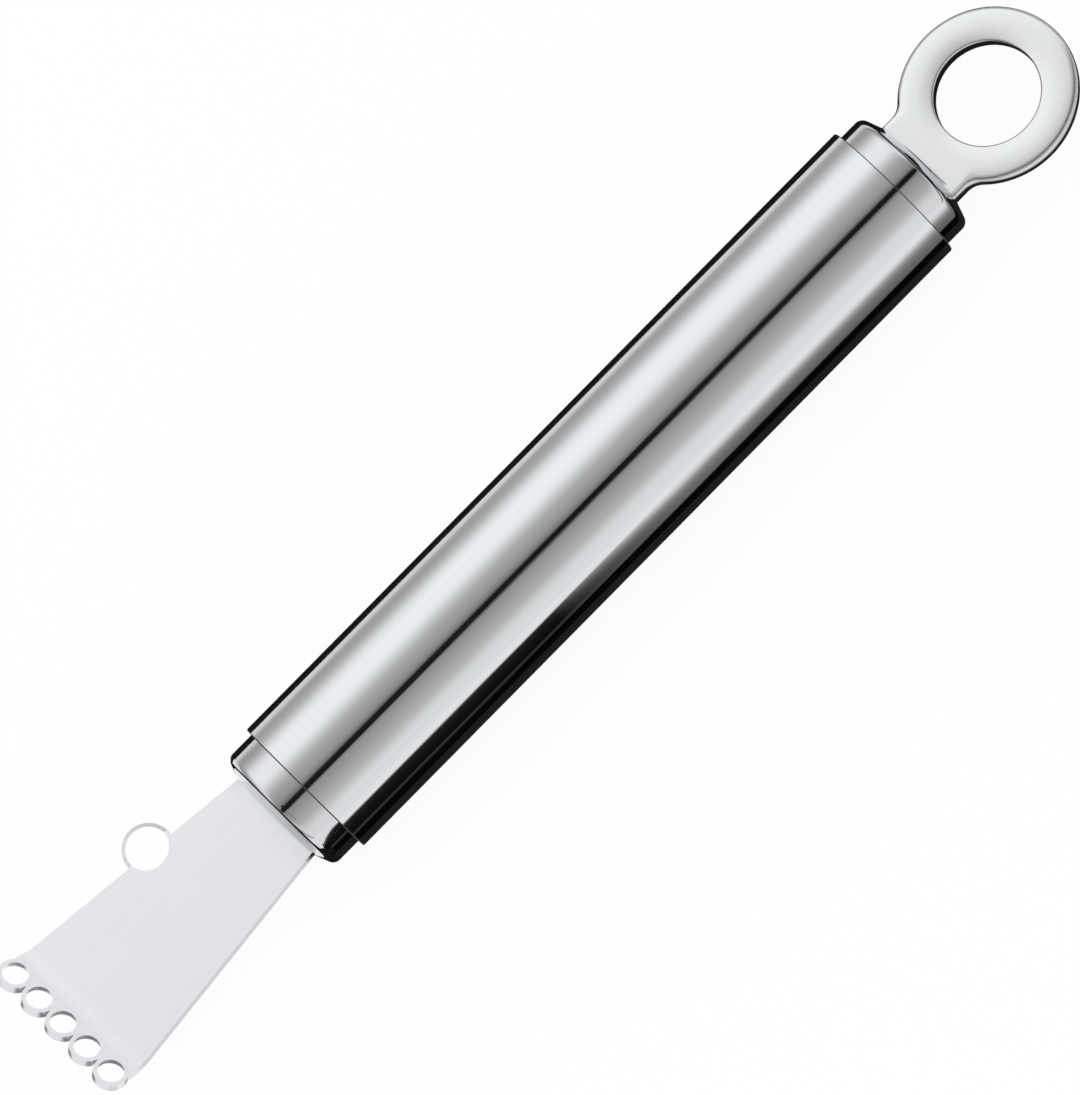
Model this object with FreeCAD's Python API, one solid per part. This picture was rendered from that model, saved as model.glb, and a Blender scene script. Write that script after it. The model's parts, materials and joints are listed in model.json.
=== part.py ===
import FreeCAD, Part
import math
import os

# Citrus zester: a steel tube handle closed by two drawn caps. A stamped blade with cutting rings
# comes out of the front cap, and a flat hanging eyelet comes out of the rear cap.
# Sizes are in millimetres and angles in degrees.

# Handle sleeve
sleeve_length = 94.0
sleeve_diameter = 18.5
sleeve_wall = 0.8
sleeve_edge_break = 0.12

# End caps, the same drawn cup at both ends
cap_wall = 0.7
cap_skirt_depth = 12.0
cap_height = 4.83
cap_flat_radius = 5.0
cap_bevel_angle = 20.0
cap_corner_radius = 1.1
cap_lead_in = 0.3
cap_slot_clearance = 0.05
rear_cap_inset = 0.35

# Blade sheet
blade_thickness = 1.0
blade_base_width = 12.8
blade_tang_depth = 8.0
blade_tang_chamfer = 1.5
blade_bend_reach = 33.6
blade_bend_radius = 5.0
blade_bend_angle = 30.0
blade_edge_inset = 0.2

# Five cutting rings across the bent tip
tip_ring_count = 5
tip_ring_pitch = 4.16
tip_ring_radius = 2.03
tip_hole_radius = 1.52
tip_hole_relief = 0.22
tip_ring_setback = 2.08
tip_web_depth = 0.2

# Cutting ring on the side of the blade, with its outer half raised
side_ring_reach = 17.35
side_ring_offset = 0.55
side_ring_radius = 3.05
side_ring_rim = 0.43
side_ring_bevel = 0.2
side_ring_lift = 30.0

# Hanging eyelet
eyelet_thickness = 2.0
eyelet_reach = 15.2
eyelet_radius = 10.5
eyelet_hole_radius = 6.2
eyelet_neck_width = 12.6
eyelet_neck_fillet = 2.5
eyelet_edge_break = 0.3
eyelet_hole_edge_break = 0.25
eyelet_tang_depth = 8.0

# Weld beads along both faces of each tang
weld_leg = 1.5
weld_end_gap = 0.8

overcut = 1.0

X = FreeCAD.Vector(1, 0, 0)
Y = FreeCAD.Vector(0, 1, 0)
Z = FreeCAD.Vector(0, 0, 1)
ORIGIN = FreeCAD.Vector(0, 0, 0)


def polar(centre, radius, degrees):
    """Point at an angle on a circle in the XY plane."""
    angle = math.radians(degrees)
    return centre + FreeCAD.Vector(radius * math.cos(angle), radius * math.sin(angle), 0)


def arc(centre, radius, start, end):
    """Arc in the XY plane from one angle to another."""
    middle = (start + end) / 2
    points = [polar(centre, radius, degrees) for degrees in (start, middle, end)]
    return Part.Arc(*points).toShape()


def line(start, end):
    return Part.LineSegment(start, end).toShape()


def outline_face(edges):
    return Part.Face(Part.Wire(edges))


def plate(face, thickness):
    """Sheet of the given thickness with its middle on the XY plane."""
    face.translate(Z * (-thickness / 2))
    return face.extrude(Z * thickness)


def sleeve():
    """Plain tube along X with its four rims lightly broken."""
    outer = Part.makeCylinder(sleeve_diameter / 2, sleeve_length, X * (-sleeve_length / 2), X)
    bore_radius = sleeve_diameter / 2 - sleeve_wall
    bore = Part.makeCylinder(bore_radius, sleeve_length, X * (-sleeve_length / 2), X)
    tube = outer.cut(bore)
    rims = [edge for edge in tube.Edges if edge.isClosed()]
    return tube.makeChamfer(sleeve_edge_break, rims)


# The caps, blade, eyelet and welds are drawn in the frame of a handle end: the origin is on the
# axis at the end of the sleeve, and +X points out of the handle.


def cap_shell():
    """Drawn cup with a rounded corner, a bevelled shoulder and a flat end, before its slot is cut."""
    radius = sleeve_diameter / 2 - sleeve_wall
    bevel = math.radians(cap_bevel_angle)
    top, knee = FreeCAD.Vector(cap_height, 0, 0), FreeCAD.Vector(cap_height, cap_flat_radius, 0)
    bevel_radius = radius - cap_corner_radius * (1 - math.sin(bevel))
    bevel_height = cap_height - (bevel_radius - cap_flat_radius) * math.tan(bevel)
    corner_height = bevel_height - cap_corner_radius * math.cos(bevel)
    corner = FreeCAD.Vector(corner_height, radius - cap_corner_radius, 0)
    inner_corner_radius = cap_corner_radius - cap_wall
    inner_flat_radius = cap_flat_radius - cap_wall * math.tan(bevel / 2)
    profile = Part.Wire([
        line(top, knee),
        line(knee, polar(corner, cap_corner_radius, cap_bevel_angle)),
        arc(corner, cap_corner_radius, cap_bevel_angle, 90),
    ] + Part.makePolygon([
        polar(corner, cap_corner_radius, 90),
        FreeCAD.Vector(cap_lead_in - cap_skirt_depth, radius, 0),
        FreeCAD.Vector(-cap_skirt_depth, radius - cap_lead_in, 0),
        FreeCAD.Vector(-cap_skirt_depth, radius - cap_wall, 0),
        polar(corner, inner_corner_radius, 90),
        polar(corner, inner_corner_radius, cap_bevel_angle),
        FreeCAD.Vector(cap_height - cap_wall, inner_flat_radius, 0),
        top - X * cap_wall,
        top,
    ]).Edges)
    return Part.Face(profile).revolve(ORIGIN, X, 360)


def cap(slot_width, slot_height):
    """Cup with a slot through its end for a tang."""
    width = slot_width + 2 * cap_slot_clearance
    height = slot_height + 2 * cap_slot_clearance
    slot = Part.makeBox(cap_height + overcut, width, height, FreeCAD.Vector(0, -width / 2, -height / 2))
    return cap_shell().cut(slot)


def weld_beads(tang_width, tang_thickness):
    """Bead on each face of a tang, laid against the inside of the cap's end."""
    root = cap_height - cap_wall
    length = tang_width - 2 * weld_end_gap
    shell = cap_shell()
    beads = []
    for side in (1, -1):
        surface = side * tang_thickness / 2
        corners = [(root, surface), (root, surface + side * weld_leg), (root - weld_leg, surface)]
        points = [FreeCAD.Vector(x, -length / 2, z) for x, z in corners]
        section = Part.Face(Part.makePolygon(points + points[:1]))
        beads.append(section.extrude(Y * length).cut(shell))
    return Part.makeCompound([solid for bead in beads for solid in bead.Solids])


def tip_origin():
    """Middle of the sheet where the bend ends and the straight tip begins."""
    angle = math.radians(blade_bend_angle)
    x = blade_bend_reach + blade_bend_radius * math.sin(angle)
    z = blade_bend_radius * (1 - math.cos(angle))
    return FreeCAD.Vector(x, 0, z)


def tip_directions():
    """Directions along the bent tip and square to it."""
    angle = math.radians(blade_bend_angle)
    along = FreeCAD.Vector(math.cos(angle), 0, math.sin(angle))
    square = FreeCAD.Vector(-math.sin(angle), 0, math.cos(angle))
    return along, square


def blade_half_width(x):
    """Half width of the blade, which flares evenly from the cap to the row of rings."""
    row_x = (tip_origin() + tip_directions()[0] * tip_ring_setback).x
    row_half = (tip_ring_count - 1) / 2 * tip_ring_pitch + tip_ring_radius - blade_edge_inset
    base_half = blade_base_width / 2
    slope = (row_half - base_half) / (row_x - cap_height)
    return base_half + slope * max(0.0, x - cap_height)


def bent_sheet():
    """Sheet of even thickness, bent up near its end, and wider than the blade."""
    half = blade_thickness / 2
    angle = blade_bend_angle
    centre = FreeCAD.Vector(blade_bend_reach, blade_bend_radius, 0)
    along = polar(ORIGIN, 1, angle)
    tip_length = tip_ring_setback + tip_web_depth
    under, over = blade_bend_radius + half, blade_bend_radius - half
    tang_end = -blade_tang_depth + cap_height
    low_start, high_start = FreeCAD.Vector(tang_end, -half, 0), FreeCAD.Vector(tang_end, half, 0)
    low_bend, high_bend = polar(centre, under, -90), polar(centre, over, -90)
    low_end, high_end = polar(centre, under, angle - 90), polar(centre, over, angle - 90)
    low_tip, high_tip = low_end + along * tip_length, high_end + along * tip_length
    section = outline_face([
        line(low_start, low_bend),
        arc(centre, under, -90, angle - 90),
        line(low_end, low_tip),
        line(low_tip, high_tip),
        line(high_tip, high_end),
        arc(centre, over, angle - 90, -90),
        line(high_bend, high_start),
        line(high_start, low_start),
    ])
    half_width = blade_half_width(low_tip.x) + overcut
    section.rotate(ORIGIN, X, 90)
    section.translate(Y * half_width)
    return section.extrude(Y * (-2 * half_width))


def blade_plan():
    """Block with the outline of the blade seen from above."""
    tang_end = -blade_tang_depth + cap_height
    far_end = blade_bend_reach + blade_bend_radius + tip_ring_setback + tip_web_depth + overcut
    tang_half = blade_base_width / 2
    side = [
        (tang_end, tang_half - blade_tang_chamfer),
        (tang_end + blade_tang_chamfer, tang_half),
        (cap_height, tang_half),
        (far_end, blade_half_width(far_end)),
    ]
    upper = [FreeCAD.Vector(x, y, 0) for x, y in side]
    lower = [FreeCAD.Vector(x, -y, 0) for x, y in reversed(side)]
    height = 2 * (blade_bend_radius + tip_ring_setback + blade_thickness)
    return plate(Part.Face(Part.makePolygon(upper + lower + upper[:1])), height)


def tip_ring_centres():
    """Centres of the rings on the middle of the bent tip."""
    row = tip_origin() + tip_directions()[0] * tip_ring_setback
    first = -(tip_ring_count - 1) / 2 * tip_ring_pitch
    return [row + Y * (first + index * tip_ring_pitch) for index in range(tip_ring_count)]


def tip_rings():
    """Discs that carry the holes of the tip."""
    square = tip_directions()[1]
    base = square * (-blade_thickness / 2)
    return [Part.makeCylinder(tip_ring_radius, blade_thickness, centre + base, square)
            for centre in tip_ring_centres()]


def tip_holes():
    """Holes that widen towards the underside, so that their upper rims cut."""
    square = tip_directions()[1]
    taper = tip_hole_relief / blade_thickness * overcut
    depth = blade_thickness + 2 * overcut
    base = square * (-depth / 2)
    wide = tip_hole_radius + tip_hole_relief + taper
    narrow = tip_hole_radius - taper
    return [Part.makeCone(wide, narrow, depth, centre + base, square) for centre in tip_ring_centres()]


def side_ring_centre():
    return FreeCAD.Vector(side_ring_reach, -blade_half_width(side_ring_reach) - side_ring_offset, 0)


def half_space(centre, side):
    """Large block on one side of the line along X through a centre."""
    size = 4 * side_ring_radius
    corner = centre - FreeCAD.Vector(size / 2, 0 if side > 0 else size, size / 2)
    return Part.makeBox(size, size, size, corner)


def raised(shape):
    """Outer half of a shape, turned up about the line along X through the side ring's centre."""
    centre = side_ring_centre()
    half = shape.common(half_space(centre, -1))
    half.rotate(centre, X, -side_ring_lift)
    return half


def side_ring():
    """Ring whose inner half lies in the sheet and whose bevelled outer half is raised."""
    centre = side_ring_centre()
    base = centre - Z * (blade_thickness / 2)
    disc = Part.makeCylinder(side_ring_radius, blade_thickness, base)
    bevelled = Part.makeCone(side_ring_radius - side_ring_bevel, side_ring_radius, blade_thickness, base)
    inner = disc.common(half_space(centre, 1))
    knuckle_start = centre - X * side_ring_radius
    knuckle = Part.makeCylinder(blade_thickness / 2, 2 * side_ring_radius, knuckle_start, X)
    return [inner, raised(bevelled), knuckle]


def side_ring_opening():
    """Clear way through both halves of the side ring."""
    centre = side_ring_centre()
    radius = side_ring_radius - side_ring_rim
    depth = blade_thickness + 2 * overcut
    bore = Part.makeCylinder(radius, depth, centre - Z * (depth / 2))
    inner = bore.common(half_space(centre, 1))
    between = Part.makeCylinder(blade_thickness / 2, 2 * radius, centre - X * radius, X)
    return [inner, raised(bore), between]


def blade():
    sheet = bent_sheet().common(blade_plan())
    solid = sheet.multiFuse(tip_rings() + side_ring())
    return solid.cut(tip_holes() + side_ring_opening()).removeSplitter()


def eyelet():
    """Round plate with a waisted neck, a tang and softened edges."""
    half_neck = eyelet_neck_width / 2
    centre = X * eyelet_reach
    reach = eyelet_radius + eyelet_neck_fillet
    angle = math.degrees(math.asin((half_neck + eyelet_neck_fillet) / reach))
    upper = polar(centre, reach, 180 - angle)
    lower = polar(centre, reach, 180 + angle)
    tang_end = cap_height - eyelet_tang_depth
    upper_tang, lower_tang = FreeCAD.Vector(tang_end, half_neck, 0), FreeCAD.Vector(tang_end, -half_neck, 0)
    face = outline_face([
        line(upper_tang, polar(upper, eyelet_neck_fillet, -90)),
        arc(upper, eyelet_neck_fillet, -90, -angle),
        arc(centre, eyelet_radius, 180 - angle, angle - 180),
        arc(lower, eyelet_neck_fillet, angle, 90),
        line(polar(lower, eyelet_neck_fillet, 90), lower_tang),
        line(lower_tang, upper_tang),
    ])
    solid = plate(face, eyelet_thickness)
    rim = [edge for edge in solid.Edges
           if edge.BoundBox.ZLength < 1e-6 and edge.BoundBox.XMax > tang_end + 1e-6]
    solid = solid.makeChamfer(eyelet_edge_break, rim)
    depth = eyelet_thickness + 2 * overcut
    hole = Part.makeCylinder(eyelet_hole_radius, depth, centre - Z * (depth / 2))
    solid = solid.cut(hole)
    hole_rims = [edge for edge in solid.Edges
                 if edge.isClosed() and edge.BoundBox.XLength < 2 * eyelet_hole_radius + 1e-3
                 and edge.BoundBox.ZLength < 1e-6]
    return solid.makeChamfer(eyelet_hole_edge_break, hole_rims)


def pressed_deeper(shape):
    """Moves a piece of the rear cap into the sleeve, as the rear cap sits deeper than the front one."""
    shape.translate(X * -rear_cap_inset)
    return shape


def at_rear(shape):
    shape.translate(X * (sleeve_length / 2))
    return shape


def at_front(shape):
    shape.rotate(ORIGIN, Z, 180)
    shape.translate(X * (-sleeve_length / 2))
    return shape


def build():
    """All pieces, moved so that the tool lies on its sleeve with the origin below its middle."""
    pieces = {
        "handle_sleeve": sleeve(),
        "front_cap": at_front(cap(blade_base_width, blade_thickness)),
        "rear_cap": at_rear(pressed_deeper(cap(eyelet_neck_width, eyelet_thickness))),
        "zester_blade": at_front(blade()),
        "hanging_eyelet": at_rear(eyelet()),
        "front_weld": at_front(weld_beads(blade_base_width, blade_thickness)),
        "rear_weld": at_rear(pressed_deeper(weld_beads(eyelet_neck_width, eyelet_thickness))),
    }
    whole = Part.makeCompound(list(pieces.values())).optimalBoundingBox()
    shift = FreeCAD.Vector(-whole.Center.x, -whole.Center.y, -whole.ZMin)
    for shape in pieces.values():
        shape.translate(shift)
    return pieces


os.makedirs("parts", exist_ok=True)
for name, shape in build().items():
    shape.exportStep("parts/" + name + ".step")
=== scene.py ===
"""Citrus zester: drawn handle with pressed-in caps, satin blade with cutting rings, and hanging eyelet."""

import json
import math

import bmesh
import bpy
from mathutils import Matrix, Vector


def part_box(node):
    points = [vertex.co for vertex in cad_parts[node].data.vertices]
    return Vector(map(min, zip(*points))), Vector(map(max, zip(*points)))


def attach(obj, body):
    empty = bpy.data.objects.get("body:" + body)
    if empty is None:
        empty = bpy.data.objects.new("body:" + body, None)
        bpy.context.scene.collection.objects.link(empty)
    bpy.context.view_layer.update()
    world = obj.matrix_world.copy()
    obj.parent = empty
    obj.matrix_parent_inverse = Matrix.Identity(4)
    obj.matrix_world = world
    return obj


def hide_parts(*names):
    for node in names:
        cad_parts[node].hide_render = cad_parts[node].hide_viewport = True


MM = 0.001

# Sizes of the shown surfaces
SLEEVE_WALL = 0.8 * MM
SLEEVE_RIM_BREAK = 0.12 * MM
CAP_WALL = 0.7 * MM
CAP_SKIRT_DEPTH = 12.0 * MM
REAR_CAP_INSET = 0.35 * MM
CAP_CORNER_ROUND = 1.1 * MM
CAP_BEVEL_ANGLE = math.radians(20.0)
CAP_KNEE_HEIGHT = 4.5 * MM
CAP_KNEE_RADIUS = 5.9 * MM
CAP_KNEE_ROUND = 0.8 * MM
CAP_CROWN_ANGLE = math.radians(8.0)
FRONT_CAP_PROUD = 0.18 * MM
SLOT_CLEARANCE = 0.05 * MM
BLADE_BASE_WIDTH = 12.8 * MM
BLADE_THICKNESS = 1.0 * MM
EYELET_NECK_WIDTH = 12.6 * MM
EYELET_NECK_FILLET = 2.5 * MM

# Rims of the eyelet: rounding, width over which the face rolls off, and its slope where the rounding starts
EYELET_OUTER_RIM = (0.8 * MM, 1.9 * MM, math.radians(6.0))
EYELET_HOLE_RIM = (0.35 * MM, 2.1 * MM, math.radians(8.5))

# Fineness of the meshes, and the limits of their clean-up
REVOLVE_STEPS = 256
EYELET_STEPS = 360
ARC_STEPS = 8
SHARP_ANGLE = math.radians(28)
FLAT_ANGLE = math.radians(0.5)
MERGE_DISTANCE = 1e-7
BLADE_MERGE_DISTANCE = 1e-6

# Finish of each steel: spread is how far its roughness changes, mottle how far its colour changes, grain
# the frequencies of its fine lines along X, Y and Z, and depth their height
STEELS = {
    "sleeve_steel": dict(
        colour=(0.738, 0.755, 0.772), roughness=0.07, spread=0.03, mottle=0.03,
        grain=(40, 5200, 5200), depth=0.003 * MM,
    ),
    "cap_steel": dict(
        colour=(0.690, 0.705, 0.722), roughness=0.07, spread=0.03, mottle=0.03,
        grain=(60, 4200, 4200), depth=0.002 * MM,
    ),
    "blade_steel": dict(
        colour=(0.800, 0.812, 0.838), roughness=0.24, spread=0.05, mottle=0.01,
        grain=(90, 2600, 2600), depth=0.0006 * MM,
    ),
    "eyelet_steel": dict(
        colour=(0.770, 0.785, 0.800), roughness=0.20, spread=0.05, mottle=0.012,
        grain=(120, 2600, 2600), depth=0.002 * MM,
    ),
    "weld_steel": dict(
        colour=(0.50, 0.49, 0.47), roughness=0.45, spread=0.05, mottle=0.12,
        grain=(900, 900, 900), depth=0.04 * MM,
    ),
}

# Noise of the fine lines and of the faint clouds under them, and the clouds' share in the colour
LINES_DETAIL = 3.0
LINES_RANGE = (0.3, 0.7)
CLOUD_SCALE = 220.0
CLOUD_DETAIL = 2.0
CLOUD_SHARE = 0.5

# Camera: the handle runs up to the right, and the camera looks down on it from in front
IMAGE_HEIGHT = 1095
FOCAL_PIXELS = 11765
SENSOR = 36.0
CAMERA_DISTANCE = 1.32
CAMERA_ELEVATION_FROM_TOP = math.radians(23.5)
CAMERA_LEAN = math.radians(1.0)
CAMERA_CLIP = (0.05, 50.0)
HANDLE_ANGLE = math.radians(45.367)
TARGET_SHIFT = -9.32 * MM
TARGET_RISE = 0.18 * MM

# Studio, seen only in the metal: a long tent of soft strips over the handle, with its levels by the angle
# from straight up towards the front
TENT_RADIUS = 0.8
TENT_HALF_LENGTH = 3.0
TENT_STEPS = 96
TENT_LEVELS = [
    (-95, 0.46),
    (-84, 0.44),
    (-72, 0.60),
    (-58, 0.98),
    (-48, 1.12),
    (-34, 1.12),
    (-25, 1.05),
    (-13, 0.71),
    (-6, 0.54),
    (4, 0.44),
    (10, 0.385),
    (15.2, 0.29),
    (18.3, 0.21),
    (19.6, 0.01),
    (27.3, 0.01),
    (28.1, 0.25),
    (30.4, 0.35),
    (40, 0.43),
    (54, 0.55),
    (60, 0.64),
    (68, 0.83),
    (74, 0.91),
    (95, 0.95),
]

# The tent's levels fall off along it: two distances from the middle, and the shares left there
TENT_FADE_DISTANCES = (0.3, 1.0)
TENT_FADE_SHARES = (1.0, 0.85)

# Flat cards: lowest and highest x and y, height and level
CARD_LIFT = 0.3 * MM
END_CARD_LIFT = 0.6 * MM
FLAT_CARDS = {
    "card_behind_dark": (-0.0448, 0.097, 0.003, 0.043, CARD_LIFT, 0.010),
    "card_corner_behind": (-0.0495, -0.0448, 0.0165, 0.043, CARD_LIFT, 0.010),
    "card_under_eyelet": (0.058, 0.097, -0.003, 0.003, CARD_LIFT, 0.010),
    "card_front_near": (-0.0440, 0.097, -0.0140, -0.003, CARD_LIFT, 0.016),
    "card_corner_near": (-0.0451, -0.0440, -0.0140, -0.003, CARD_LIFT, 0.010),
    "card_front_dark": (-0.0451, 0.097, -0.0200, -0.0140, CARD_LIFT, 0.002),
    "card_under_tip": (-0.0835, -0.0735, -0.0125, 0.0075, CARD_LIFT, 0.32),
    "card_before_tip": (-0.0937, -0.0835, -0.0190, 0.0200, CARD_LIFT, 0.22),
    "card_front_end": (-3.0, -0.120, -0.5, 0.5, END_CARD_LIFT, 0.32),
    "card_rear_end": (0.120, 3.0, -0.5, 0.5, END_CARD_LIFT, 0.20),
}

# Grey card on the floor along the blade's near edge, painted shade in place of the floor's shadow under
# that edge as the metal sees it: (x, middle y) at both ends, half width and level
EDGE_SHADE_CARD = ((-0.0453, -0.0107), (-0.0745, -0.0146), 0.0025, 0.74)

# Flags that stand across the handle's line just beyond each cap and darken its corner: azimuth from up
# towards the back, inner and outer radius in mm
FRONT_CORNER_FLAG = [
    (-160, 5.0, 30.0),
    (-115, 7.3, 30.0),
    (-97, 7.6, 30.0),
    (-90, 7.6, 12.0),
    (-80, 7.6, 9.0),
    (-68, 7.6, 8.5),
    (-35, 7.6, 8.45),
    (0, 7.6, 8.35),
    (50, 7.6, 8.40),
    (71, 7.6, 9.0),
    (90, 7.6, 16.0),
    (100, 7.6, 20.0),
]
REAR_CORNER_FLAG = [
    (-84, 7.9, 8.3),
    (-60, 7.6, 8.35),
    (50, 7.6, 8.40),
    (71, 7.6, 9.0),
    (90, 7.6, 16.0),
    (100, 7.6, 20.0),
]
REAR_END_FLAG = [(-74, 4.0, 4.6), (-55, 1.95, 4.2), (-25, 1.25, 3.8), (20, 1.2, 3.4), (50, 1.75, 3.2)]
SEAM_FLAG = [(-180, 8.6, 9.3), (180, 8.6, 9.3)]

# How far the flags stand from the metal, the step of their curves in degrees, and their levels
CORNER_FLAG_GAP = 0.20 * MM
END_FLAG_GAP = 0.15 * MM
SEAM_FLAG_GAP = 0.05 * MM
FLAG_STEP = 3
FLAG_LEVEL = 0.01
SEAM_FLAG_LEVEL = 0.07

# Flags that keep the image of the ring's card off the front cap's corner: the same, and level
RING_CARD_FLAGS = {
    "flag_ring_card_grey": ([(-41, 11.5, 22.0), (-26.4, 11.5, 22.0)], 0.33),
    "flag_ring_card_dark": ([(-26.4, 11.5, 22.0), (-19, 11.5, 22.0)], 0.01),
}

# Upright dark flag beside the front cap's lower corner: lowest and highest x, y, lowest and highest z
SIDE_FLAG = (-0.0451, -0.0425, -0.0087, 0.0045, 0.0112)

# Card behind the handle, with its levels by y
BEHIND_CARD = (-3.0, 3.0, 0.043, 0.9)
BEHIND_LEVELS = [
    (0.043, 0.86),
    (0.060, 0.80),
    (0.100, 0.66),
    (0.130, 0.52),
    (0.200, 0.46),
    (0.900, 0.46),
]

# Card in front of the handle, with its levels by y at the blade's end and at the eyelet's, and the x over
# which the first change into the second
FAR_CARD = (-0.0451, 0.097, -0.110, -0.0200)
FAR_CHANGE = (-0.006, 0.014)
FAR_LEVELS_FRONT = [
    (-0.110, 1.00),
    (-0.075, 1.00),
    (-0.068, 0.45),
    (-0.062, 0.02),
    (-0.0232, 0.004),
    (-0.0225, 0.04),
    (-0.0200, 0.04),
]
FAR_LEVELS_REAR = [
    (-0.110, 1.00),
    (-0.085, 0.98),
    (-0.0645, 0.84),
    (-0.051, 0.63),
    (-0.042, 0.42),
    (-0.033, 0.25),
    (-0.0225, 0.16),
    (-0.0200, 0.14),
]

# Screens across both ends of the tent: half width and height
END_SCREEN = (0.5, 0.8)
END_SCREEN_LEVEL = 0.40

# Pale card above the side ring: where it is aimed, its angle from straight up towards the front, how far
# away it is, and half its length and width
RING_CARD_FROM = Vector((-0.0670, 0.009, 0.012))
RING_CARD_ANGLE = math.radians(36.5)
RING_CARD_DISTANCE = 0.10
RING_CARD_HALF = (0.0085, 0.012)
RING_CARD_LEVEL = 1.50

# Floor: its glow is the share of it that looks white whatever falls on it, and the rest takes the shadow
FLOOR_SIZE = 12.0
FLOOR_COLOUR = (0.99, 0.99, 0.99)
FLOOR_GLOW = 0.92


def mesh_piece(name, verts, faces):
    """Smooth-shaded mesh object with its hard edges kept sharp."""
    mesh = bpy.data.meshes.new(name)
    mesh.from_pydata([tuple(v) for v in verts], [], faces)
    tidy_mesh(mesh)
    return add_object(name, mesh)


def tidy_mesh(mesh):
    """Merges what coincides, turns the faces outwards and shades all but the hard edges smooth."""
    work = bmesh.new()
    work.from_mesh(mesh)
    bmesh.ops.remove_doubles(work, verts=work.verts, dist=MERGE_DISTANCE)
    bmesh.ops.recalc_face_normals(work, faces=work.faces)
    work.to_mesh(mesh)
    work.free()
    mesh.shade_smooth()
    mesh.set_sharp_from_angle(angle=SHARP_ANGLE)
    mesh.update()


def add_object(name, mesh):
    """Object with a mesh, in the scene."""
    piece = bpy.data.objects.new(name, mesh)
    bpy.context.scene.collection.objects.link(piece)
    return piece


def arc_points(centre, radius, start, end):
    """Points of an arc in the plane of a profile, angles in radians."""
    points = []
    for step in range(ARC_STEPS + 1):
        angle = start + (end - start) * step / ARC_STEPS
        points.append((centre[0] + radius * math.cos(angle), centre[1] + radius * math.sin(angle)))
    return points


def rounded(corners):
    """Closed profile from (x, radius, rounding) corners, each rounding turned into an arc."""
    points = []
    for i, (x, radius, soft) in enumerate(corners):
        here = Vector((x, radius))
        if not soft:
            points.append((x, radius))
            continue
        before = (Vector(corners[i - 1][:2]) - here).normalized()
        after = (Vector(corners[(i + 1) % len(corners)][:2]) - here).normalized()
        half = before.angle(after) / 2
        centre = here + (before + after).normalized() * soft / math.sin(half)
        start = here + before * soft / math.tan(half) - centre
        end = here + after * soft / math.tan(half) - centre
        first = math.atan2(start.y, start.x)
        turn = (math.atan2(end.y, end.x) - first + math.pi) % (2 * math.pi) - math.pi
        points += arc_points(centre, soft, first, first + turn)
    return points


def revolve(name, profile, origin, direction=1):
    """Closed profile of (x, radius) pairs turned about a line along X."""
    count = len(profile)
    verts, faces = [], []
    for step in range(REVOLVE_STEPS):
        angle = 2 * math.pi * step / REVOLVE_STEPS
        for x, radius in profile:
            across, up = radius * math.sin(angle), radius * math.cos(angle)
            verts.append(origin + Vector((direction * x, across, up)))
    for step in range(REVOLVE_STEPS):
        here, there = step * count, (step + 1) % REVOLVE_STEPS * count
        for i in range(count):
            j = (i + 1) % count
            faces.append((here + i, here + j, there + j, there + i))
    return mesh_piece(name, verts, faces)


def cut_box(piece, centre, size):
    """Takes a box out of a piece and keeps the result as its mesh."""
    box_mesh = bpy.data.meshes.new("cutter")
    work = bmesh.new()
    place = Matrix.Translation(centre) @ Matrix.Diagonal((*size, 1.0))
    bmesh.ops.create_cube(work, size=1.0, matrix=place)
    work.to_mesh(box_mesh)
    work.free()
    cutter = add_object("cutter", box_mesh)
    boolean = piece.modifiers.new("slot", "BOOLEAN")
    boolean.operation = "DIFFERENCE"
    boolean.solver = "EXACT"
    boolean.object = cutter
    evaluated = piece.evaluated_get(bpy.context.evaluated_depsgraph_get())
    mesh = bpy.data.meshes.new_from_object(evaluated)
    piece.modifiers.clear()
    old = piece.data
    piece.data = mesh
    bpy.data.meshes.remove(old)
    bpy.data.objects.remove(cutter)
    bpy.data.meshes.remove(box_mesh)
    tidy_mesh(piece.data)


def mount(piece, node, material):
    """Puts a piece in place of a CAD node, with its finish."""
    piece.data.materials.clear()
    piece.data.materials.append(material)
    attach(piece, "root")
    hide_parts(node)


def link(tree, start, end):
    """Joins an output to an input."""
    tree.links.new(start, end)


def maths(tree, operation, *values):
    """Maths node fed with sockets or numbers; gives its output."""
    node = tree.nodes.new("ShaderNodeMath")
    node.operation = operation
    for socket, value in zip(node.inputs, values):
        if isinstance(value, (int, float)):
            socket.default_value = value
        else:
            link(tree, value, socket)
    return node.outputs["Value"]


def carried(tree, value, source, target=(0.0, 1.0)):
    """Value carried from one range to another, held at its ends."""
    span = tree.nodes.new("ShaderNodeMapRange")
    span.inputs["From Min"].default_value, span.inputs["From Max"].default_value = source
    span.inputs["To Min"].default_value, span.inputs["To Max"].default_value = target
    link(tree, value, span.inputs["Value"])
    return span.outputs["Result"]


def noise(tree, place, scale, detail):
    """Smooth noise over a place."""
    texture = tree.nodes.new("ShaderNodeTexNoise")
    texture.inputs["Scale"].default_value = scale
    texture.inputs["Detail"].default_value = detail
    link(tree, place, texture.inputs["Vector"])
    return texture.outputs["Fac"]


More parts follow.
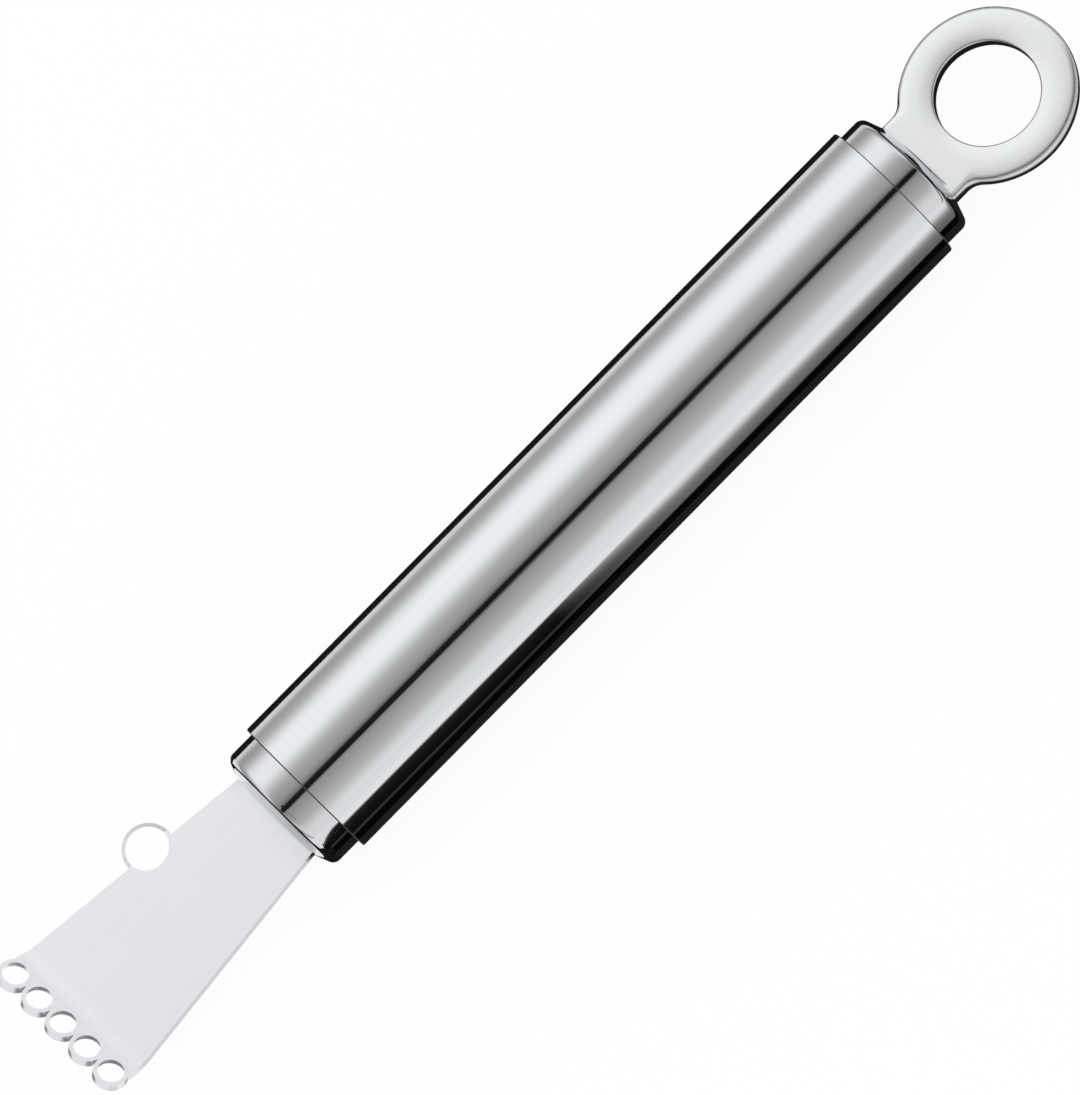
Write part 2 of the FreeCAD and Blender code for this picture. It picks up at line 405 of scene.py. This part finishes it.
def steel(name, colour, roughness, spread, grain, depth, mottle):
    """Steel whose fine lines run along the direction of the smallest grain frequency."""
    material = bpy.data.materials.new(name)
    material.use_nodes = True
    tree = material.node_tree
    shader = tree.nodes["Principled BSDF"]
    shader.inputs["Metallic"].default_value = 1.0
    place = tree.nodes.new("ShaderNodeTexCoord").outputs["Object"]
    stretch = tree.nodes.new("ShaderNodeMapping")
    stretch.inputs["Scale"].default_value = grain
    link(tree, place, stretch.inputs["Vector"])
    lines = noise(tree, stretch.outputs["Vector"], 1.0, LINES_DETAIL)
    clouds = noise(tree, place, CLOUD_SCALE, CLOUD_DETAIL)

    rough = carried(tree, lines, LINES_RANGE, (roughness - spread / 2, roughness + spread / 2))
    link(tree, rough, shader.inputs["Roughness"])

    tint = tree.nodes.new("ShaderNodeMix")
    tint.data_type = "RGBA"
    tint.inputs["A"].default_value = (*[c * (1 - mottle) for c in colour], 1)
    tint.inputs["B"].default_value = (*[min(1.0, c * (1 + mottle)) for c in colour], 1)
    faint = maths(tree, "MULTIPLY", clouds, CLOUD_SHARE)
    link(tree, maths(tree, "MULTIPLY_ADD", lines, 1 - CLOUD_SHARE, faint), tint.inputs["Factor"])
    link(tree, tint.outputs["Result"], shader.inputs["Base Color"])

    bump = tree.nodes.new("ShaderNodeBump")
    bump.inputs["Strength"].default_value = 1.0
    bump.inputs["Distance"].default_value = depth
    link(tree, lines, bump.inputs["Height"])
    link(tree, bump.outputs["Normal"], shader.inputs["Normal"])
    return material


def sleeve_piece(material):
    """Tube with softly broken rims; gives its middle and its half length."""
    low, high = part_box("handle_sleeve")
    middle = Vector(((low.x + high.x) / 2, (low.y + high.y) / 2, (low.z + high.z) / 2))
    radius, half = (high.z - low.z) / 2, (high.x - low.x) / 2
    bore, rim = radius - SLEEVE_WALL, half - SLEEVE_RIM_BREAK
    outer_rim, inner_rim = radius - SLEEVE_RIM_BREAK, bore + SLEEVE_RIM_BREAK
    profile = [(half, outer_rim), (half, inner_rim), (rim, bore), (-rim, bore)]
    profile += [(-half, inner_rim), (-half, outer_rim), (-rim, radius), (rim, radius)]
    piece = revolve("sleeve_tube", profile, middle)
    mount(piece, "handle_sleeve", material)
    return middle, half


def cap_profile(radius):
    """Closed profile of a drawn cup, from the middle of its crowned end round to the inside."""
    slope = math.tan(CAP_BEVEL_ANGLE)
    crown_round = CAP_KNEE_RADIUS / math.sin(CAP_CROWN_ANGLE)
    crown_centre = CAP_KNEE_HEIGHT - crown_round * math.cos(CAP_CROWN_ANGLE)
    crown = arc_points((crown_centre, 0), crown_round, 0, CAP_CROWN_ANGLE)
    inner_knee = CAP_KNEE_HEIGHT - CAP_WALL
    bore = radius - CAP_WALL
    inner_corner = CAP_KNEE_HEIGHT - (bore - CAP_KNEE_RADIUS) * slope - CAP_WALL / math.cos(CAP_BEVEL_ANGLE)
    return rounded([(x, reach, 0) for x, reach in crown[:-1]] + [
        (CAP_KNEE_HEIGHT, CAP_KNEE_RADIUS, CAP_KNEE_ROUND),
        (CAP_KNEE_HEIGHT - (radius - CAP_KNEE_RADIUS) * slope, radius, CAP_CORNER_ROUND),
        (-CAP_SKIRT_DEPTH, radius, 0),
        (-CAP_SKIRT_DEPTH, bore, 0),
        (inner_corner, bore, CAP_CORNER_ROUND - CAP_WALL),
        (inner_knee, CAP_KNEE_RADIUS, 0),
        (inner_knee, 0, 0),
    ])


def cap_piece(name, node, origin, direction, slot_size, material):
    """Drawn cup pressed into one end of the sleeve, with a slot for its tang."""
    low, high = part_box(node)
    piece = revolve(name, cap_profile((high.z - low.z) / 2), origin, direction)
    length = 2 * CAP_KNEE_HEIGHT
    centre = origin + Vector((direction * (length / 2 + SLOT_CLEARANCE), 0, 0))
    width, height = slot_size
    cut_box(piece, centre, (length, width + 2 * SLOT_CLEARANCE, height + 2 * SLOT_CLEARANCE))
    mount(piece, node, material)


def blade_piece(material):
    """The stamped blade, with the solid's own faces and its hard edges kept."""
    mesh = frame["nodes"]["zester_blade"].data.copy()
    mesh.name = "blade_sheet"
    work = bmesh.new()
    work.from_mesh(mesh)
    bmesh.ops.remove_doubles(work, verts=work.verts, dist=BLADE_MERGE_DISTANCE)
    bmesh.ops.dissolve_limit(work, angle_limit=FLAT_ANGLE, verts=work.verts, edges=work.edges)
    work.to_mesh(mesh)
    work.free()
    tidy_mesh(mesh)
    mount(add_object("blade_sheet", mesh), "zester_blade", material)


def eyelet_radius(angle, ring, neck, fillet, tang):
    """Distance from the hole's centre to the eyelet's outline, angle measured from the neck's middle."""
    half_neck = neck / 2
    fillet_angle = math.asin((half_neck + fillet) / (ring + fillet))
    fillet_reach = (ring + fillet) * math.cos(fillet_angle)
    neck_angle = math.atan2(half_neck, fillet_reach)
    tang_angle = math.atan2(half_neck, tang)
    if angle < tang_angle:
        return tang / math.cos(angle)
    if angle < neck_angle:
        return half_neck / math.sin(angle)
    if angle < fillet_angle:
        away = fillet_angle - angle
        reach = ring + fillet
        return reach * math.cos(away) - math.sqrt(max(0.0, fillet ** 2 - (reach * math.sin(away)) ** 2))
    return ring


def edge_section(half, soft, width, slope):
    """Section of a rim as (distance from the edge, height) pairs, from its side up onto the flat face."""
    start = soft * (1 - math.sin(slope))
    drop = (width - start) * math.tan(slope) / 2
    section = arc_points((soft, half - drop - soft * math.cos(slope)), soft, math.pi, math.pi / 2 + slope)
    for step in range(1, ARC_STEPS + 1):
        share = step / ARC_STEPS
        section.append((start + share * (width - start), half - drop * (1 - share) ** 2))
    return section


def eyelet_piece(material):
    """Round plate with a waisted neck, whose faces roll off towards every edge."""
    low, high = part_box("hanging_eyelet")
    hole = frame["record"]["mounts"][0]
    centre = Vector(hole["pos_m"])
    hole_radius = hole["dims"]["r_mm"] * MM
    half, ring = (high.z - low.z) / 2, high.x - centre.x
    tang = centre.x - low.x
    outer, inner = edge_section(half, *EYELET_OUTER_RIM), edge_section(half, *EYELET_HOLE_RIM)
    rims_width = EYELET_OUTER_RIM[1] + EYELET_HOLE_RIM[1]
    verts, faces = [], []
    for step in range(EYELET_STEPS):
        turn = 2 * math.pi * step / EYELET_STEPS
        fold = abs((turn + math.pi) % (2 * math.pi) - math.pi)
        spoke = Vector((-math.cos(turn), math.sin(turn)))
        reach = eyelet_radius(fold, ring, EYELET_NECK_WIDTH, EYELET_NECK_FILLET, tang)
        share = min(1.0, (reach - hole_radius) / rims_width)
        row = [(spoke * (reach - distance * share), height) for distance, height in outer]
        row += [(spoke * (hole_radius + distance * share), height) for distance, height in reversed(inner)]
        row += [(place, -height) for place, height in reversed(row)]
        verts += [centre + Vector((place.x, place.y, height)) for place, height in row]
    count = len(row)
    for step in range(EYELET_STEPS):
        here, there = step * count, (step + 1) % EYELET_STEPS * count
        for i in range(count):
            j = (i + 1) % count
            faces.append((here + i, here + j, there + j, there + i))
    piece = mesh_piece("eyelet_plate", verts, faces)
    mount(piece, "hanging_eyelet", material)


def dress_welds(material):
    """Gives the weld beads their finish; they are shown as their CAD nodes."""
    for node in ("front_weld", "rear_weld"):
        bead = frame["nodes"][node]
        bead.data.materials.clear()
        bead.data.materials.append(material)


def glow(name):
    """Material of a studio card that gives out light, with its tree and the socket of its colour."""
    material = bpy.data.materials.new(name)
    material.use_nodes = True
    tree = material.node_tree
    tree.nodes.clear()
    light = tree.nodes.new("ShaderNodeEmission")
    out = tree.nodes.new("ShaderNodeOutputMaterial")
    link(tree, light.outputs["Emission"], out.inputs["Surface"])
    return material, tree, light.inputs["Color"]


def ramp(tree, value, stops):
    """Grey levels along a value, from (value, level) pairs."""
    first, last = stops[0][0], stops[-1][0]
    scale = tree.nodes.new("ShaderNodeValToRGB")
    elements = scale.color_ramp.elements
    while len(elements) < len(stops):
        elements.new(1.0)
    for element, (place, level) in zip(elements, stops):
        element.position = (place - first) / (last - first)
        element.color = (level, level, level, 1)
    link(tree, carried(tree, value, (first, last)), scale.inputs["Fac"])
    return scale.outputs["Color"]


def object_axes(tree):
    """Separate X, Y and Z of the place on a studio piece."""
    place = tree.nodes.new("ShaderNodeTexCoord").outputs["Object"]
    split = tree.nodes.new("ShaderNodeSeparateXYZ")
    link(tree, place, split.inputs["Vector"])
    return split.outputs


def studio_piece(name, verts, faces, material):
    """Piece of the studio that only the metal sees."""
    mesh = bpy.data.meshes.new(name)
    mesh.from_pydata([tuple(v) for v in verts], [], faces)
    mesh.materials.append(material)
    piece = add_object(name, mesh)
    piece.visible_camera = False
    piece.visible_diffuse = False
    piece.visible_shadow = False
    piece.visible_transmission = False


def tent():
    """Half tube of soft strips over the handle."""
    first, last = TENT_LEVELS[0][0], TENT_LEVELS[-1][0]
    verts, faces = [], []
    for step in range(TENT_STEPS + 1):
        angle = math.radians(first + (last - first) * step / TENT_STEPS)
        y, z = -TENT_RADIUS * math.sin(angle), TENT_RADIUS * math.cos(angle)
        verts += [(-TENT_HALF_LENGTH, y, z), (TENT_HALF_LENGTH, y, z)]
    for step in range(TENT_STEPS):
        i = 2 * step
        faces.append((i, i + 1, i + 3, i + 2))
    material, tree, colour = glow("light_tent")
    axes = object_axes(tree)
    towards_front = maths(tree, "MULTIPLY", axes["Y"], -1.0)
    angle = maths(tree, "ARCTAN2", towards_front, axes["Z"])
    stops = [(math.radians(degrees), level) for degrees, level in TENT_LEVELS]
    link(tree, ramp(tree, angle, stops), colour)
    away = maths(tree, "ABSOLUTE", axes["X"])
    fade = carried(tree, away, TENT_FADE_DISTANCES, TENT_FADE_SHARES)
    link(tree, fade, colour.node.inputs["Strength"])
    studio_piece("light_tent", verts, faces, material)


def card(name, corners, level):
    """Flat card of one level."""
    material, _, colour = glow(name)
    colour.default_value = (level, level, level, 1)
    studio_piece(name, corners, [tuple(range(len(corners)))], material)


def flat(low_x, high_x, low_y, high_y, height=CARD_LIFT):
    """Corners of a level card."""
    corners = [(low_x, low_y), (high_x, low_y), (high_x, high_y), (low_x, high_y)]
    return [(x, y, height) for x, y in corners]


def card_behind():
    """Card behind the handle that grows darker away from it."""
    material, tree, colour = glow("card_behind")
    link(tree, ramp(tree, object_axes(tree)["Y"], BEHIND_LEVELS), colour)
    studio_piece("card_behind", flat(*BEHIND_CARD), [(0, 1, 2, 3)], material)


def card_in_front():
    """Card in front of the handle: dark at the blade's end, grey at the eyelet's."""
    material, tree, colour = glow("card_in_front")
    axes = object_axes(tree)
    blend = tree.nodes.new("ShaderNodeMix")
    blend.data_type = "RGBA"
    link(tree, carried(tree, axes["X"], FAR_CHANGE), blend.inputs["Factor"])
    link(tree, ramp(tree, axes["Y"], FAR_LEVELS_FRONT), blend.inputs["A"])
    link(tree, ramp(tree, axes["Y"], FAR_LEVELS_REAR), blend.inputs["B"])
    link(tree, blend.outputs["Result"], colour)
    studio_piece("card_in_front", flat(*FAR_CARD), [(0, 1, 2, 3)], material)


def shade_card_beside_blade():
    """Grey card on the floor along the blade's near edge: painted shade standing in for the floor's shadow
    there, seen in the edge's reflection.
    """
    near, far, half, level = EDGE_SHADE_CARD
    lower = [(x, y - half, CARD_LIFT) for x, y in (near, far)]
    upper = [(x, y + half, CARD_LIFT) for x, y in (far, near)]
    card("shade_card_beside_blade", lower + upper, level)


def card_over_ring():
    """Pale card that the face of the side ring sees."""
    away = Vector((0, -math.sin(RING_CARD_ANGLE), math.cos(RING_CARD_ANGLE)))
    centre = RING_CARD_FROM + away * RING_CARD_DISTANCE
    half_length, half_width = RING_CARD_HALF
    long = Vector((half_length, 0, 0))
    wide = away.cross(Vector((half_width, 0, 0)))
    corners = [centre - long - wide, centre + long - wide, centre + long + wide, centre - long + wide]
    card("card_over_ring", corners, RING_CARD_LEVEL)


def end_screens():
    """Upright screens that close the tent's ends."""
    wide, tall = END_SCREEN
    for name, x in (("screen_front_end", -TENT_HALF_LENGTH), ("screen_rear_end", TENT_HALF_LENGTH)):
        card(name, [(x, -wide, 0), (x, wide, 0), (x, wide, tall), (x, -wide, tall)], END_SCREEN_LEVEL)


def flag(name, centre, spans, level=FLAG_LEVEL):
    """Upright flag across the handle's line, its reach given by azimuth."""
    verts = []
    for (first, *low), (last, *high) in zip(spans, spans[1:]):
        steps = math.ceil((last - first) / FLAG_STEP)
        for step in range(steps + 1):
            share = step / steps
            turn = math.radians(first + (last - first) * share)
            spoke = Vector((0, math.sin(turn), math.cos(turn)))
            verts += [centre + spoke * (a + (b - a) * share) * MM for a, b in zip(low, high)]
    faces = [(i, i + 1, i + 3, i + 2) for i in range(0, len(verts) - 2, 2)]
    material, _, colour = glow(name)
    colour.default_value = (level, level, level, 1)
    studio_piece(name, verts, faces, material)


def flags(middle):
    """The flags just beyond the caps and the sleeve's ends, and the one beside the front cap."""
    front_x, rear_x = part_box("front_cap")[0].x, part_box("rear_cap")[1].x
    for name, x, spans in (
        ("flag_front_corner", front_x - CORNER_FLAG_GAP, FRONT_CORNER_FLAG),
        ("flag_rear_corner", rear_x + CORNER_FLAG_GAP, REAR_CORNER_FLAG),
        ("flag_rear_end", rear_x + END_FLAG_GAP, REAR_END_FLAG),
    ):
        flag(name, Vector((x, middle.y, middle.z)), spans)
    for name, (spans, level) in RING_CARD_FLAGS.items():
        flag(name, Vector((front_x - CORNER_FLAG_GAP, middle.y, middle.z)), spans, level)
    low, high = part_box("handle_sleeve")
    for name, x in (("flag_front_seam", low.x - SEAM_FLAG_GAP), ("flag_rear_seam", high.x + SEAM_FLAG_GAP)):
        flag(name, Vector((x, middle.y, middle.z)), SEAM_FLAG, SEAM_FLAG_LEVEL)
    low_x, high_x, y, low_z, high_z = SIDE_FLAG
    corners = [(low_x, y, low_z), (high_x, y, low_z), (high_x, y, high_z), (low_x, y, high_z)]
    card("flag_corner_side", corners, FLAG_LEVEL)


def cards():
    """All the cards round the tool."""
    for name, (*edges, height, level) in FLAT_CARDS.items():
        card(name, flat(*edges, height), level)
    card_behind()
    card_in_front()
    shade_card_beside_blade()
    card_over_ring()
    end_screens()


def floor():
    """White floor that glows to the camera and in the metal, and still takes the shadow."""
    half = FLOOR_SIZE / 2
    mesh = bpy.data.meshes.new("floor")
    mesh.from_pydata(flat(-half, half, -half, half, 0), [], [(0, 1, 2, 3)])
    piece = add_object("floor", mesh)
    material = bpy.data.materials.new("floor")
    material.use_nodes = True
    tree = material.node_tree
    tree.nodes.clear()
    rays = tree.nodes.new("ShaderNodeLightPath").outputs
    seen = maths(tree, "MAXIMUM", rays["Is Camera Ray"], rays["Is Glossy Ray"])
    seen = maths(tree, "MAXIMUM", seen, rays["Is Transmission Ray"])
    matt = tree.nodes.new("ShaderNodeBsdfDiffuse")
    matt.inputs["Color"].default_value = (*FLOOR_COLOUR, 1)
    light = tree.nodes.new("ShaderNodeEmission")
    blend = tree.nodes.new("ShaderNodeMixShader")
    out = tree.nodes.new("ShaderNodeOutputMaterial")
    link(tree, maths(tree, "MULTIPLY", seen, FLOOR_GLOW), blend.inputs["Fac"])
    link(tree, matt.outputs["BSDF"], blend.inputs[1])
    link(tree, light.outputs["Emission"], blend.inputs[2])
    link(tree, blend.outputs["Shader"], out.inputs["Surface"])
    piece.data.materials.append(material)


def white_world():
    """Plain white world, which lights the tool evenly."""
    world = bpy.data.worlds.new("studio")
    world.use_nodes = True
    world.node_tree.nodes["Background"].inputs["Color"].default_value = (1, 1, 1, 1)
    world.node_tree.nodes["Background"].inputs["Strength"].default_value = 1.0
    bpy.context.scene.world = world


def camera(middle):
    """Long lens above and in front of the handle, turned so that the handle runs up to the right."""
    tip, lean = CAMERA_ELEVATION_FROM_TOP, CAMERA_LEAN
    back = Vector((-math.sin(lean), -math.sin(tip) * math.cos(lean), math.cos(tip) * math.cos(lean)))
    along = (Vector((1, 0, 0)) - back * back.x).normalized()
    across = back.cross(along)
    right = along * math.cos(HANDLE_ANGLE) - across * math.sin(HANDLE_ANGLE)
    up = along * math.sin(HANDLE_ANGLE) + across * math.cos(HANDLE_ANGLE)
    target = middle + along * TARGET_SHIFT + across * TARGET_RISE
    data = bpy.data.cameras.new("camera")
    data.sensor_fit = "VERTICAL"
    data.sensor_height = SENSOR
    data.sensor_width = SENSOR
    data.lens = FOCAL_PIXELS * SENSOR / IMAGE_HEIGHT
    data.clip_start, data.clip_end = CAMERA_CLIP
    piece = bpy.data.objects.new("camera", data)
    bpy.context.scene.collection.objects.link(piece)
    turn = Matrix((right, up, back)).transposed()
    piece.matrix_world = Matrix.Translation(target + back * CAMERA_DISTANCE) @ turn.to_4x4()
    bpy.context.scene.camera = piece


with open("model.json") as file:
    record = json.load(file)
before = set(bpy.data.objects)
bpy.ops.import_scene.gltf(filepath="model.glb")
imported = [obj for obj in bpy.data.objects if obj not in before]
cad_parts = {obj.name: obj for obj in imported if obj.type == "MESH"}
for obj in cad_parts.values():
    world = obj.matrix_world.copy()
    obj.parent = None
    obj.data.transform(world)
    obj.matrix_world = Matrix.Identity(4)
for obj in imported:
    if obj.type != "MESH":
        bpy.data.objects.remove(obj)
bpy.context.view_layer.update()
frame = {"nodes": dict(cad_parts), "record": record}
bpy.context.scene.view_settings.view_transform = "Standard"

steels = {name: steel(name, **finish) for name, finish in STEELS.items()}
middle, sleeve_half = sleeve_piece(steels["sleeve_steel"])
front_end = middle - Vector((sleeve_half + FRONT_CAP_PROUD, 0, 0))
rear_end = middle + Vector((sleeve_half - REAR_CAP_INSET, 0, 0))
eyelet_low, eyelet_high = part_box("hanging_eyelet")
front_slot = (BLADE_BASE_WIDTH, BLADE_THICKNESS)
rear_slot = (EYELET_NECK_WIDTH, eyelet_high.z - eyelet_low.z)
cap_piece("front_cup", "front_cap", front_end, -1, front_slot, steels["cap_steel"])
cap_piece("rear_cup", "rear_cap", rear_end, 1, rear_slot, steels["cap_steel"])
blade_piece(steels["blade_steel"])
eyelet_piece(steels["eyelet_steel"])
dress_welds(steels["weld_steel"])

white_world()
tent()
floor()
cards()
flags(middle)
camera(middle)
